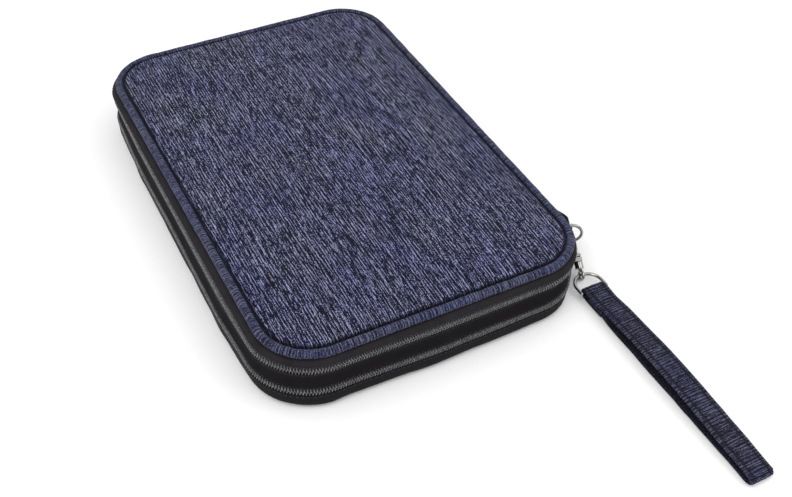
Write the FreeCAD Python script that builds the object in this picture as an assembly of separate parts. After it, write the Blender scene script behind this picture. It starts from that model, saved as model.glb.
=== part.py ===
"""Cable organizer pouch: two zip-round compartments, book style, with a clip-on wrist strap.

Millimetres, +Z up. The spine is on +X, the front short side on -Y. The origin is the centre
of the base cover, on the surface that the pouch lies on.
"""
import FreeCAD, Part
import math
import os

V = FreeCAD.Vector
X_AXIS = V(1, 0, 0)
Y_AXIS = V(0, 1, 0)
Z_AXIS = V(0, 0, 1)

# The rim outline, seen from above. Every offset below is counted outward from it.
HALF_WIDTH = 95.0
HALF_LENGTH = 145.0
CORNER_RADIUS = 32.0
CORNER_X = HALF_WIDTH - CORNER_RADIUS
CORNER_Y = HALF_LENGTH - CORNER_RADIUS

# Covers: fabric over a stiff foam board with a lining inside, and a piping round the edge.
PANEL_OFFSET = -5.1
FABRIC = 0.8
FOAM = 2.6
LINING = 0.6
HEIGHT = 39.0
PIPING_RADIUS = 2.5
PIPING_OFFSET = -2.5
BASE_PIPING_Z = 2.8
LID_PIPING_Z = 36.5

# Side bands, as (offset, height) of the outer face at the lower edge, the middle and the upper edge.
BAND_THICKNESS = 0.8
BASE_GUSSET = ((0.6, 1.2), (3.3, 4.6), (3.7, 10.6))
TRAY_GUSSET = ((3.1, 17.3), (2.0, 21.2), (2.0, 25.4))
LID_GUSSET = ((2.1, 32.7), (1.5, 33.6), (0.2, 34.3))

# Zippers: tape on the inside, coil on the outside, split at the middle height.
LOWER_ZIP_Z = 13.5
LOWER_ZIP_OFFSET = 2.6
UPPER_ZIP_Z = 29.0
UPPER_ZIP_OFFSET = 1.4
ZIP_SPLIT = 0.4
TAPE_WIDTH = 2.8
SHORT_TAPE_WIDTH = 2.3
COIL_WIDTH = 1.8
COIL_DEPTH = 1.6

# Spine: one panel of fabric over a stiffener, which folds along its lower and upper edges.
SPINE_INNER = 0.2
SPINE_THICKNESS = 1.6
SPINE_HALF_LENGTH = 112.5
SPINE_LOW = 3.2
SPINE_HIGH = 33.2

# Divider between the compartments, and what is sewn to it and to the covers.
DIVIDER_OFFSET = 0.9
DIVIDER_LOW = 18.4
DIVIDER_LINING = 0.6
DIVIDER_BOARD = 2.0
LOOP_ROWS = (-70.0, 0.0, 70.0)
LOOP_COUNT = 6
LOOP_PITCH = 24.0
LOOP_WIDTH = 20.0
LOOP_RISE = 2.4
LOOP_THICKNESS = 0.8
POCKET_HALF_WIDTH = 82.0
POCKET_FAR_END = -132.0
POCKET_MOUTH = 20.0
POCKET_THICKNESS = 0.6
BINDING_WIDTH = 6.0
BINDING_THICKNESS = 1.2

# Sliders, parked at the middle of the back edge.
SLIDER_PARK = 6.5
SLIDER_LENGTH = 9.0
SLIDER_HALF_HEIGHT = 2.9
SLIDER_PLATE = 1.1
SLIDER_GAP = 0.25
POST_HALF_WIDTH = 1.2
POST_HALF_HEIGHT = 0.25
LUG_REACH = 1.7
LUG_HALF_WIDTH = 1.2
LUG_LIP = 0.9
LUG_INNER = 0.95
LUG_OUTER = 1.65
PIN_RADIUS = 0.55
PULL_EYE_RADIUS = 1.5
PULL_BORE_RADIUS = 0.7
PULL_LENGTH = 24.0
PULL_NECK = 3.0
PULL_HALF_WIDTH = 3.0
PULL_THICKNESS = 1.2

# Pouch ring and its webbing tab, near the front end of the spine.
RING_BAR = V(102.0, -109.0, 20.0)
RING_OUT = V(0.876, -0.481, 0.0)
RING_BAR_HALF = 6.2
RING_REACH = 8.2
RING_WIRE = 0.9
RING_HANG_ANGLE = 18.5
TAB_HALF_WIDTH = 4.9
TAB_THICKNESS = 1.3
TAB_BACK_END = -80.0
TAB_BEND = -90.0
TAB_KNEE = V(102.4, -102.5, 0.0)
TAB_TOP = 28.0
TAB_EYE_RADIUS = 2.2
TAB_BORE_RADIUS = 1.1

# Snap hook, from the pouch ring to the strap ring.
STRAP_RING_APEX = V(100.9, -128.5, 3.5)
HOOK_BOW_RADIUS = 3.2
HOOK_WIRE = 1.1
HOOK_SHANK = 12.5
HOOK_TIP = 2.0
BARREL_RADIUS = 2.5
BARREL_START = 13.0
BARREL_END = 17.3
GATE_RADIUS = 0.85
GATE_START = 2.3
GATE_PIVOT = 10.0
GATE_KNUCKLE = 1.1
GATE_KNUCKLE_HALF = 0.7
GATE_BORE = 0.5
GATE_PIN = 0.42
CHEEK_INNER = 0.85
CHEEK_OUTER = 1.5
CHEEK_HALF_WIDTH = 0.9
YOKE_HALF_LENGTH = 1.0
YOKE_HALF_WIDTH = 4.5
YOKE_HALF_DEPTH = 1.7
EYE_RADIUS = 2.6
EYE_WIRE = 0.8
STEM_RADIUS = 0.8
STEM_CLEARANCE = 0.15
STEM_HEAD = 1.5
STEM_HEAD_START = 14.6
STEM_HEAD_LENGTH = 0.8

# Wrist strap and its ring.
STRAP_RING_WIRE = 1.0
STRAP_RING_BAR_HALF = 8.5
STRAP_RING_REACH = 13.0
STRAP_HALF_WIDTH = 7.5
STRAP_LENGTH = 143.0
STRAP_THICKNESS = 2.0
STRAP_CREST = 9.0
STRAP_FOLD_HEIGHT = 5.4
STRAP_SEWN = 17.0
STRAP_WRAP = 3.3
STRAP_BORE = 1.25
STRAP_FLOOR_GAP = 0.1

SHAPES = {}


def add(name, shape):
    """Keep a finished piece under its node name."""
    SHAPES[name] = shape


def fuse(pieces):
    """Join overlapping or touching solids into one piece."""
    return pieces[0].multiFuse(pieces[1:]).removeSplitter()


def box(low, high):
    """A box between two corners."""
    size = high - low
    return Part.makeBox(size.x, size.y, size.z, low)


def outline(offset, z):
    """The rim outline, grown by offset, as a closed wire at height z."""
    radius = CORNER_RADIUS + offset
    edges = []
    for turn in range(4):
        middle, before, after = [math.radians(90 * turn + extra) for extra in (45, 0, 90)]
        side_x = math.copysign(CORNER_X, math.cos(middle))
        side_y = math.copysign(CORNER_Y, math.sin(middle))
        arc = [V(side_x + radius * math.cos(a), side_y + radius * math.sin(a), z) for a in (before, middle, after)]
        if edges:
            edges.append(Part.LineSegment(edges[-1].Vertexes[-1].Point, arc[0]).toShape())
        edges.append(Part.Arc(*arc).toShape())
    edges.append(Part.LineSegment(edges[-1].Vertexes[-1].Point, edges[0].Vertexes[0].Point).toShape())
    return Part.Wire(edges)


def plate(offset, low, high):
    """A flat plate with the rim outline."""
    return Part.Face(outline(offset, low)).extrude(V(0, 0, high - low))


def swept(face, around_spine=False):
    """Carry a section round the rim: corners are revolved and sides are extruded.

    The section lies in the local XZ plane, with local X counted from the corner's centre.
    Without around_spine the band is open on the spine side.
    """
    pieces = []
    centres = ((CORNER_X, -CORNER_Y), (-CORNER_X, -CORNER_Y), (-CORNER_X, CORNER_Y), (CORNER_X, CORNER_Y))
    for turn, (x, y) in enumerate(centres):
        centre = V(x, y, 0)
        start = face.copy()
        start.Placement = FreeCAD.Placement(centre, FreeCAD.Rotation(Z_AXIS, -90 * turn))
        pieces.append(start.revolve(centre, -Z_AXIS, 90))
        if turn < 3 or around_spine:
            angle = -90 * (turn + 1)
            side = face.copy()
            side.Placement = FreeCAD.Placement(centre, FreeCAD.Rotation(Z_AXIS, angle))
            length = 2 * (CORNER_Y if turn % 2 else CORNER_X)
            travel = V(math.sin(math.radians(angle)), -math.cos(math.radians(angle)), 0)
            pieces.append(side.extrude(travel * length))
    return fuse(pieces)


def section_point(offset, z):
    """A point of a band's section, in the frame that swept() uses."""
    return V(CORNER_RADIUS + offset, 0, z)


def piping(z):
    """The round edge trim, right round the rim."""
    circle = Part.makeCircle(PIPING_RADIUS, section_point(PIPING_OFFSET, z), Y_AXIS)
    return swept(Part.Face(Part.Wire(circle)), around_spine=True)


def gusset(points):
    """A side band with a curved section, of even thickness."""
    outer = [section_point(offset, z) for offset, z in points]
    outer_arc = Part.Arc(*outer).toShape()
    centre = outer_arc.Curve.Center
    inward = -1 if outer[1].x > centre.x else 1
    grow = 1 + inward * BAND_THICKNESS / outer_arc.Curve.Radius
    inner = [centre + (point - centre) * grow for point in outer]
    edges = [
        outer_arc,
        Part.LineSegment(outer[2], inner[2]).toShape(),
        Part.Arc(*reversed(inner)).toShape(),
        Part.LineSegment(inner[0], outer[0]).toShape(),
    ]
    return swept(Part.Face(Part.Wire(edges)))


def strip(inner, outer, low, high):
    """A side band with a rectangular section."""
    corners = [section_point(*pair) for pair in ((inner, low), (outer, low), (outer, high), (inner, high))]
    return swept(Part.Face(Part.makePolygon(corners + corners[:1])))


def zipper(name, offset, z, side, tape_width):
    """One tape and one coil. side is 1 above the split and -1 below it."""
    split = z + side * ZIP_SPLIT
    tape = sorted((split, split + side * tape_width))
    coil = sorted((split, split + side * COIL_WIDTH))
    face = offset + BAND_THICKNESS
    add(name + "_tape", strip(offset, face, *tape))
    add(name + "_coil", strip(face, face + COIL_DEPTH, *coil))


def cover(name, layers):
    """The flat layers of a cover, from the lowest up."""
    for layer, low, high in layers:
        add(name + "_" + layer, plate(PANEL_OFFSET, low, high))


def pocket(name, wall_z, side):
    """A mesh pocket on a lining. side is the way it stands off the lining."""
    low, high = sorted((wall_z, wall_z + side * POCKET_THICKNESS))
    sheet_low = V(-POCKET_HALF_WIDTH, POCKET_FAR_END + CORNER_RADIUS, low)
    sheet_high = V(POCKET_HALF_WIDTH, POCKET_MOUTH, high)
    add(name + "_mesh_pocket", box(sheet_low, sheet_high))
    low, high = sorted((wall_z, wall_z + side * BINDING_THICKNESS))
    binding_low = V(-POCKET_HALF_WIDTH, POCKET_MOUTH, low)
    binding_high = V(POCKET_HALF_WIDTH, POCKET_MOUTH + BINDING_WIDTH, high)
    add(name + "_pocket_binding", box(binding_low, binding_high))


def base():
    """The lower cover with its side band and its half of the lower zipper."""
    foam_low = FABRIC
    foam_high = foam_low + FOAM
    lining_high = foam_high + LINING
    cover("base", (("cover", 0, foam_low), ("board", foam_low, foam_high), ("lining", foam_high, lining_high)))
    add("base_piping", piping(BASE_PIPING_Z))
    add("base_gusset", gusset(BASE_GUSSET))
    zipper("base_lower", LOWER_ZIP_OFFSET, LOWER_ZIP_Z, -1, SHORT_TAPE_WIDTH)
    pocket("base", lining_high, 1)


def spine():
    """The fabric back on the +X side, between the ends of the side bands."""
    inner = HALF_WIDTH + SPINE_INNER
    low = V(inner, -SPINE_HALF_LENGTH, SPINE_LOW)
    high = V(inner + SPINE_THICKNESS, SPINE_HALF_LENGTH, SPINE_HIGH)
    return box(low, high)


def divider_layer(low, high):
    """A plate between the side bands that stops at the spine."""
    room = box(V(-2 * HALF_WIDTH, -2 * HALF_LENGTH, low), V(HALF_WIDTH + SPINE_INNER, 2 * HALF_LENGTH, high))
    return plate(DIVIDER_OFFSET, low, high).common(room)


def elastic_row(y, floor):
    """One strip of elastic, sewn down between low arches."""
    pieces = []
    start = -LOOP_PITCH * LOOP_COUNT / 2
    for index in range(LOOP_COUNT):
        left = start + LOOP_PITCH * index
        ends = [V(left, 0, floor), V(left + LOOP_PITCH / 2, 0, floor + LOOP_RISE), V(left + LOOP_PITCH, 0, floor)]
        top = [point + V(0, 0, LOOP_THICKNESS) for point in ends]
        edges = [
            Part.Arc(*ends).toShape(),
            Part.LineSegment(ends[2], top[2]).toShape(),
            Part.Arc(*reversed(top)).toShape(),
            Part.LineSegment(top[0], ends[0]).toShape(),
        ]
        arch = Part.Face(Part.Wire(edges)).extrude(V(0, LOOP_WIDTH, 0))
        arch.translate(V(0, y - LOOP_WIDTH / 2, 0))
        pieces.append(arch)
    return fuse(pieces)


def tray():
    """The middle layer: divider, side band, the tray's halves of both zippers, and the spine."""
    board_low = DIVIDER_LOW + DIVIDER_LINING
    board_high = board_low + DIVIDER_BOARD
    add("divider_lower_lining", divider_layer(DIVIDER_LOW, board_low))
    add("divider_board", divider_layer(board_low, board_high))
    add("divider_upper_lining", divider_layer(board_high, board_high + DIVIDER_LINING))
    rows = zip(("front", "middle", "back"), LOOP_ROWS)
    for name, y in rows:
        add(name + "_elastic_loops", elastic_row(y, board_high + DIVIDER_LINING))
    add("tray_gusset", gusset(TRAY_GUSSET))
    zipper("tray_lower", LOWER_ZIP_OFFSET, LOWER_ZIP_Z, 1, TAPE_WIDTH)
    zipper("tray_upper", UPPER_ZIP_OFFSET, UPPER_ZIP_Z, -1, TAPE_WIDTH)
    add("spine_panel", spine())
    add("ring_tab", ring_tab())


def lid():
    """The upper cover with its side band and its half of the upper zipper."""
    fabric_low = HEIGHT - FABRIC
    foam_low = fabric_low - FOAM
    lining_low = foam_low - LINING
    layers = (("lining", lining_low, foam_low), ("board", foam_low, fabric_low), ("cover", fabric_low, HEIGHT))
    cover("lid", layers)
    add("lid_piping", piping(LID_PIPING_Z))
    add("lid_gusset", gusset(LID_GUSSET))
    zipper("lid_upper", UPPER_ZIP_OFFSET, UPPER_ZIP_Z, 1, TAPE_WIDTH)
    pocket("lid", lining_low, -1)


def slider(x, z, tape_inner):
    """A slider body round both coils at the back edge, with a lug and pin for its pull."""
    coil_outer = tape_inner + BAND_THICKNESS + COIL_DEPTH
    front = HALF_LENGTH + coil_outer + SLIDER_GAP
    back = HALF_LENGTH + tape_inner - SLIDER_GAP
    half = SLIDER_LENGTH / 2
    low_z = z - SLIDER_HALF_HEIGHT
    high_z = z + SLIDER_HALF_HEIGHT
    outer_plate = box(V(x - half, front, low_z), V(x + half, front + SLIDER_PLATE, high_z))
    inner_plate = box(V(x - half, back - SLIDER_PLATE, low_z), V(x + half, back, high_z))
    corners = [edge for edge in outer_plate.Edges if abs(edge.tangentAt(0).y) > 0.9]
    pieces = [outer_plate.makeFillet(SLIDER_PLATE, corners), inner_plate]
    post_low = V(x - POST_HALF_WIDTH, back - SLIDER_PLATE, z - POST_HALF_HEIGHT)
    post_high = V(x + POST_HALF_WIDTH, front + SLIDER_PLATE, z + POST_HALF_HEIGHT)
    pieces.append(box(post_low, post_high))
    pin_y = front + SLIDER_PLATE + LUG_REACH
    for side in (-1, 1):
        low, high = sorted((z + side * LUG_INNER, z + side * LUG_OUTER))
        pieces.append(box(V(x - LUG_HALF_WIDTH, front, low), V(x + LUG_HALF_WIDTH, pin_y + LUG_LIP, high)))
    pieces.append(Part.makeCylinder(PIN_RADIUS, 2 * LUG_OUTER, V(x, pin_y, z - LUG_OUTER)))
    return fuse(pieces), V(x, pin_y, z)


def pull(pin, way):
    """A flat pull tab on a slider's pin, lying along the zipper towards way (1 or -1)."""
    half = LUG_INNER - 0.2
    eye = Part.makeCylinder(PULL_EYE_RADIUS, 2 * half, pin - V(0, 0, half))
    thick = V(0, PULL_THICKNESS / 2, 0)
    neck = sorted((pin.x, pin.x + way * (PULL_NECK + 1)))
    blade = sorted((pin.x + way * PULL_NECK, pin.x + way * PULL_LENGTH))
    low = V(neck[0], pin.y, pin.z - half) - thick
    high = V(neck[1], pin.y, pin.z + half) + thick
    pieces = [eye, box(low, high)]
    low = V(blade[0], pin.y, pin.z - PULL_HALF_WIDTH) - thick
    high = V(blade[1], pin.y, pin.z + PULL_HALF_WIDTH) + thick
    plain = box(low, high)
    rounded = [edge for edge in plain.Edges if abs(edge.tangentAt(0).y) > 0.9]
    pieces.append(plain.makeFillet(PULL_THICKNESS, rounded))
    bore = Part.makeCylinder(PULL_BORE_RADIUS, 2 * half + 1, pin - V(0, 0, half + 0.5))
    return fuse(pieces).cut(bore)


def sliders():
    """Two sliders for each zipper, meeting back to back."""
    rows = (("upper", UPPER_ZIP_Z, UPPER_ZIP_OFFSET), ("lower", LOWER_ZIP_Z, LOWER_ZIP_OFFSET))
    for level, z, offset in rows:
        for side, way in (("left", -1), ("right", 1)):
            body, pin = slider(way * SLIDER_PARK, z, offset)
            add(level + "_" + side + "_slider", body)
            add(level + "_" + side + "_pull", pull(pin, way))


def rod(start, end, radius):
    """A straight round bar."""
    return Part.makeCylinder(radius, (end - start).Length, start, end - start)


def turned_box(centre, ways, halves):
    """A box about a centre, along three directions at right angles, with half a size along each."""
    spans = [way * half for way, half in zip(ways, halves)]
    corners = [
        centre - spans[0] - spans[1] - spans[2],
        centre + spans[0] - spans[1] - spans[2],
        centre + spans[0] + spans[1] - spans[2],
        centre - spans[0] + spans[1] - spans[2],
    ]
    return Part.Face(Part.makePolygon(corners + corners[:1])).extrude(spans[2] * 2)


def bend(centre, arm, towards, angle, radius):
    """A bent round bar: it starts at centre + arm and turns towards the given direction."""
    section = Part.Face(Part.Wire(Part.makeCircle(radius, centre + arm, towards)))
    return section.revolve(centre, arm.cross(towards), angle)


def d_ring(bar_centre, bar_way, out_way, bar_half, reach, wire):
    """A closed D of round wire. reach is from the bar to the bow's top, between centrelines."""
    arm = out_way * (reach - bar_half)
    half = bar_way * bar_half
    pieces = [rod(bar_centre - half, bar_centre + half, wire)]
    for corner in (bar_centre - half, bar_centre + half):
        pieces.append(Part.makeSphere(wire, corner))
        pieces.append(rod(corner, corner + arm, wire))
    pieces.append(bend(bar_centre + arm, half, out_way, 180, wire))
    return fuse(pieces)


def ring_tab():
    """Webbing from the spine to the pouch ring's bar, with an eye round the bar."""
    wall = HALF_WIDTH + SPINE_INNER + SPINE_THICKNESS
    low_z = RING_BAR.z - TAB_HALF_WIDTH
    height = V(0, 0, 2 * TAB_HALF_WIDTH)
    rise = V(0, 0, TAB_TOP - low_z)
    thick = V(TAB_THICKNESS, 0, 0)
    flat = box(V(wall, TAB_BEND, low_z), V(wall + TAB_THICKNESS, TAB_BACK_END, TAB_TOP))
    eye_centre = V(RING_BAR.x, RING_BAR.y, low_z)
    bend = V(wall, TAB_BEND, low_z)
    knee = V(TAB_KNEE.x, TAB_KNEE.y, low_z)
    slope = [bend, bend + thick, knee + thick, knee]
    stretch = [knee, knee + thick, eye_centre + thick, eye_centre]
    shoulder = Part.Face(Part.makePolygon(slope + slope[:1])).extrude(rise)
    neck = Part.Face(Part.makePolygon(stretch + stretch[:1])).extrude(height)
    eye = Part.makeCylinder(TAB_EYE_RADIUS, height.z, eye_centre)
    bore = Part.makeCylinder(TAB_BORE_RADIUS, height.z + 2, eye_centre - Z_AXIS)
    return fuse([flat, shoulder, neck, eye]).cut(bore)


def hook_frame():
    """The bow's centre on the pouch ring's wire, the hook's long way, its swing axis and its side way."""
    angle = math.radians(RING_HANG_ANGLE)
    out = RING_OUT * (RING_REACH - RING_BAR_HALF + RING_BAR_HALF * math.sin(angle))
    bow = RING_BAR + out - Z_AXIS * (RING_BAR_HALF * math.cos(angle))
    along = (STRAP_RING_APEX - bow).normalize()
    swing = (RING_OUT - along * RING_OUT.dot(along)).normalize()
    return bow, along, swing, swing.cross(along)


def hardware():
    """The rings, the snap hook with its gate, and the swivel eye."""
    add("pouch_ring", d_ring(RING_BAR, Z_AXIS, RING_OUT, RING_BAR_HALF, RING_REACH, RING_WIRE))
    bow, along, swing, side = hook_frame()
    wide = side * HOOK_BOW_RADIUS
    foot = bow + along * HOOK_SHANK
    pivot = bow - wide + along * GATE_PIVOT
    barrel_start = bow + along * BARREL_START
    yoke_size = (YOKE_HALF_LENGTH, YOKE_HALF_WIDTH, YOKE_HALF_DEPTH)
    body = [
        bend(bow, wide, -along, 180, HOOK_WIRE),
        rod(bow + wide, foot + wide, HOOK_WIRE),
        turned_box(foot, (along, side, swing), yoke_size),
        rod(bow - wide, bow - wide + along * HOOK_TIP, HOOK_WIRE),
        rod(barrel_start, bow + along * BARREL_END, BARREL_RADIUS),
    ]
    cheek_half = (HOOK_SHANK - GATE_PIVOT) / 2
    cheek_size = (cheek_half, CHEEK_HALF_WIDTH, (CHEEK_OUTER - CHEEK_INNER) / 2)
    for way in (-1, 1):
        near = pivot + swing * (way * CHEEK_INNER)
        far = pivot + swing * (way * CHEEK_OUTER)
        body.append(rod(near, far, GATE_KNUCKLE))
        body.append(turned_box((near + far) * 0.5 + along * cheek_half, (along, side, swing), cheek_size))
    head = bow + along * STEM_HEAD_START
    neck = head + along * STEM_HEAD_LENGTH
    cavity_start = head - along * STEM_CLEARANCE
    cavity_end = neck + along * STEM_CLEARANCE
    cavity = rod(cavity_start, cavity_end, STEM_HEAD + STEM_CLEARANCE)
    throat = rod(cavity_end, bow + along * (BARREL_END + 1), STEM_RADIUS + STEM_CLEARANCE)
    pin_half = swing * CHEEK_OUTER
    pin = rod(pivot - pin_half, pivot + pin_half, GATE_PIN)
    add("snap_hook_body", fuse(body).cut(fuse([cavity, throat, pin])))
    add("gate_pin", pin)
    knuckle_half = swing * GATE_KNUCKLE_HALF
    knuckle = rod(pivot - knuckle_half, pivot + knuckle_half, GATE_KNUCKLE)
    bar = rod(bow - wide + along * GATE_START, pivot, GATE_RADIUS)
    add("gate", fuse([bar, knuckle]).cut(rod(pivot - pin_half, pivot + pin_half, GATE_BORE)))
    eye_way = (X_AXIS - along * X_AXIS.dot(along)).normalize()
    eye = Part.makeTorus(EYE_RADIUS, EYE_WIRE, STRAP_RING_APEX, eye_way)
    stem = rod(head, STRAP_RING_APEX - along * EYE_RADIUS, STEM_RADIUS)
    add("swivel_eye", fuse([eye, stem, rod(head, neck, STEM_HEAD)]))
    ring_bar = STRAP_RING_APEX - Y_AXIS * STRAP_RING_REACH
    add("strap_ring", d_ring(ring_bar, X_AXIS, Y_AXIS, STRAP_RING_BAR_HALF, STRAP_RING_REACH, STRAP_RING_WIRE))
    print("hook bow", bow, "along", along, "swing", swing, "eye way", eye_way, "gate pivot", pivot)


def closed_face(points, arcs):
    """A face from points in order. An arc passes through the point whose index is in arcs."""
    edges = []
    index = 0
    ring = points + points[:1]
    while index < len(points):
        if index + 1 in arcs:
            edges.append(Part.Arc(ring[index], ring[index + 1], ring[index + 2]).toShape())
            index += 2
        else:
            edges.append(Part.LineSegment(ring[index], ring[index + 1]).toShape())
            index += 1
    return Part.Face(Part.Wire(edges))


def wrist_strap():
    """A long loop of folded fabric, sewn shut beside the ring, with its lower layer on the floor."""
    bar = STRAP_RING_APEX - Y_AXIS * STRAP_RING_REACH
    floor = STRAP_FLOOR_GAP
    far = bar.y - STRAP_LENGTH
    middle = bar.y - STRAP_LENGTH / 2
    fold = STRAP_FOLD_HEIGHT / 2
    left = bar.x - STRAP_HALF_WIDTH
    outer = [
        V(left, far + fold, floor),
        V(left, bar.y, floor),
        V(left, bar.y + STRAP_WRAP, bar.z),
        V(left, bar.y, bar.z + STRAP_WRAP),
        V(left, middle, STRAP_CREST),
        V(left, far + fold, floor + STRAP_FOLD_HEIGHT),
        V(left, far, floor + fold),
    ]
    thick = STRAP_THICKNESS
    inner = [
        V(left, far + fold, floor + thick),
        V(left, bar.y - STRAP_SEWN, floor + thick),
        V(left, middle, STRAP_CREST - thick),
        V(left, far + fold, floor + STRAP_FOLD_HEIGHT - thick),
    ]
    width = V(2 * STRAP_HALF_WIDTH, 0, 0)
    body = closed_face(outer, (2, 4, 6)).extrude(width)
    gap = closed_face(inner, (2,)).extrude(width)
    bore = Part.makeCylinder(STRAP_BORE, width.x + 2, V(left - 1, bar.y, bar.z), X_AXIS)
    return body.cut(gap).cut(bore)


base()
tray()
lid()
sliders()
hardware()
add("wrist_strap", wrist_strap())

os.makedirs("parts", exist_ok=True)
for node, shape in SHAPES.items():
    if not shape.isValid() or len(shape.Solids) != 1:
        print("check", node, "valid", shape.isValid(), "solids", len(shape.Solids))
    shape.exportStep("parts/" + node + ".step")
print(len(SHAPES), "nodes")
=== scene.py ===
"""Looks of the cable organizer pouch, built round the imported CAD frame.

Lengths in the tables below are in millimetres, as in the CAD. offset counts outward from the
rim outline, a rounded rectangle seen from above.
"""

import math

import bmesh
import bpy
import numpy as np
from mathutils import Matrix, Vector
from mathutils.geometry import delaunay_2d_cdt


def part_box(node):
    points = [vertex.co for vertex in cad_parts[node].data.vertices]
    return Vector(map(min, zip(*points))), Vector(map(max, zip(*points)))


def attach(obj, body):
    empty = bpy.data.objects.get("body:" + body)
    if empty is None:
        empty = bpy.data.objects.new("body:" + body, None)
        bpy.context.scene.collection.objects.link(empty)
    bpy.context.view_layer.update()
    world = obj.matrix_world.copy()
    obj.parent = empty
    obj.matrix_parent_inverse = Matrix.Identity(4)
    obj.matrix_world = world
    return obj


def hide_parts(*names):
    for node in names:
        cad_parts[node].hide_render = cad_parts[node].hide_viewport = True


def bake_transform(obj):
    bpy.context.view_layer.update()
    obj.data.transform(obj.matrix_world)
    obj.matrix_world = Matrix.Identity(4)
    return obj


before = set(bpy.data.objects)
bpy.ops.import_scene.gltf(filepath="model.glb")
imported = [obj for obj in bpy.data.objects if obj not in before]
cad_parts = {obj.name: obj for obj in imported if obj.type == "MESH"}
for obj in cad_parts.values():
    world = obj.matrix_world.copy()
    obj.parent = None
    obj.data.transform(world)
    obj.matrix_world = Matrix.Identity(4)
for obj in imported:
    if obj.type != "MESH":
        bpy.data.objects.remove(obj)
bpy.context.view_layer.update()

MM = 0.001


def node_box(name):
    """A CAD node's lowest and highest corners, in millimetres."""
    low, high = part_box(name)
    return np.array(low) / MM, np.array(high) / MM


# The rim outline.
RIM_HIGH = node_box("lid_piping")[1]
CORNER_RADIUS = 32.0
CORNER_X = RIM_HIGH[0] - CORNER_RADIUS
CORNER_Y = RIM_HIGH[1] - CORNER_RADIUS
PANEL_OFFSET = -5.1
SEAM_GAP = 0.5
PIPING_OFFSET = -2.5
PIPING_RADIUS = 2.5

# Zippers, as (middle height, offset of the tape's outer face).
UPPER_ZIP = (29.0, 2.2)
LOWER_ZIP = (13.5, 3.4)
TOOTH_PITCH = 1.5

# Middle lines of the bands' cross-sections, as (offset, height).
BAND_THICKNESS = 0.8
BASE_BAND = ((-0.6, 1.3), (1.4, 1.1), (3.0, 2.4), (3.9, 4.6), (4.1, 7.4), (4.2, 9.8), (4.1, 10.9))
TRAY_BAND = ((4.0, 16.1), (3.4, 17.4), (2.2, 19.6), (1.6, 21.6), (1.9, 24.0), (2.7, 26.1))
LID_BAND = ((2.75, 31.9), (2.2, 32.8), (1.2, 33.8), (-0.4, 34.4))

# How far the soft bands stand in or out from their even line, at distances round the rim.
# The front right and back left corners pull in, the left side stands out towards its front,
# and the back edge stays even for the sliders.
SLACK_RUN = (0.0, 25.0, 50.0, 85.0, 120.0, 150.0, 170.0, 188.0, 205.0, 230.0, 262.0, 335.0,
             400.0, 430.0, 474.0, 500.0, 630.0, 654.0, 679.0)
SLACK = (-0.5, -3.2, -1.4, -0.6, 0.0, -1.2, -1.8, -1.2, -0.6, 0.4, 1.8, 0.8,
         0.5, -0.9, -3.6, 0.0, 0.0, -1.2, 0.0)
# The slack is whole below the lower height, and gone at the top one.
SLACK_TOP = 34.5
SLACK_FULL = 25.0

# The bands turn in under the spine over this reach, to this offset and this share of their own.
TUCK_REACH = 42.0
TUCKED_OFFSET = 0.5
TUCKED_SHARE = 0.1

LID_PIPING_Z = 36.5
BASE_PIPING_Z = 2.8

# Rings of a pad's points, as distances in from its edge.
RINGS_NEAR_EDGE = (0.0, 0.35, 0.9, 1.7, 2.8, 4.2)
# The teeth stand apart this far each way along the back, where the sliders are parked.
PARTED_HALF_WIDTH = 14
ELASTIC_LOOPS = 6
NET_CELL = 2.6
NET_HOLE_SHARE = 0.74
TAB_EYE_HALF = 4.9
STRAP_SEAM_INSET = 2.7

# Ridges of the heather cloth: turns for each metre across them, and how far they wander.
RIDGE_TURNS = 2 * math.pi * 1000 / 1.7
RIDGE_DRIFT = 12.0


def smooth(t):
    t = np.clip(t, 0.0, 1.0)
    return t * t * (3.0 - 2.0 * t)


def lattice(u, v, seed):
    """Smooth noise from -1 to 1 over two coordinates, one cell to a unit."""
    table = np.random.default_rng(seed).uniform(-1.0, 1.0, (256, 256))
    u, v = np.broadcast_arrays(np.asarray(u, float), np.asarray(v, float))
    low_u, low_v = np.floor(u).astype(int), np.floor(v).astype(int)
    part_u, part_v = smooth(u - low_u), smooth(v - low_v)

    def at(du, dv):
        return table[(low_u + du) % 256, (low_v + dv) % 256]

    near = at(0, 0) * (1 - part_u) + at(1, 0) * part_u
    far = at(0, 1) * (1 - part_u) + at(1, 1) * part_u
    return near * (1 - part_v) + far * part_v


def curve_through(points, step):
    """Points about a step apart on a smooth curve through the given ones."""
    points = np.asarray(points, float)
    ends = [2 * points[0] - points[1]], [2 * points[-1] - points[-2]]
    knots = np.concatenate((ends[0], points, ends[1]))
    made = []
    for i in range(1, len(knots) - 2):
        a, b, c, d = knots[i - 1:i + 3]
        count = max(2, int(round(np.linalg.norm(c - b) / step)))
        t = np.arange(count)[:, None] / count
        made.append(0.5 * (
            2 * b + (c - a) * t + (2 * a - 5 * b + 4 * c - d) * t**2 + (3 * b - a - 3 * c + d) * t**3
        ))
    made.append(knots[-2:-1])
    return np.concatenate(made)


def lengths(points):
    """How far along a line each of its points is."""
    return np.concatenate(([0.0], np.cumsum(np.linalg.norm(np.diff(points, axis=0), axis=1))))


def girth(section):
    """How far round a closed outline each of its points is, and the whole way last."""
    return lengths(np.concatenate((section, section[:1])))


def directions(line):
    """The way along a flat line at each point, and the way square to it."""
    along = np.gradient(line, axis=0)
    along /= np.linalg.norm(along, axis=1)[:, None]
    return along, np.stack((along[:, 1], -along[:, 0]), axis=1)


def grid(x, y, z):
    """Rows of points from their coordinates."""
    return np.stack(np.broadcast_arrays(x, y, z), axis=2)


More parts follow.
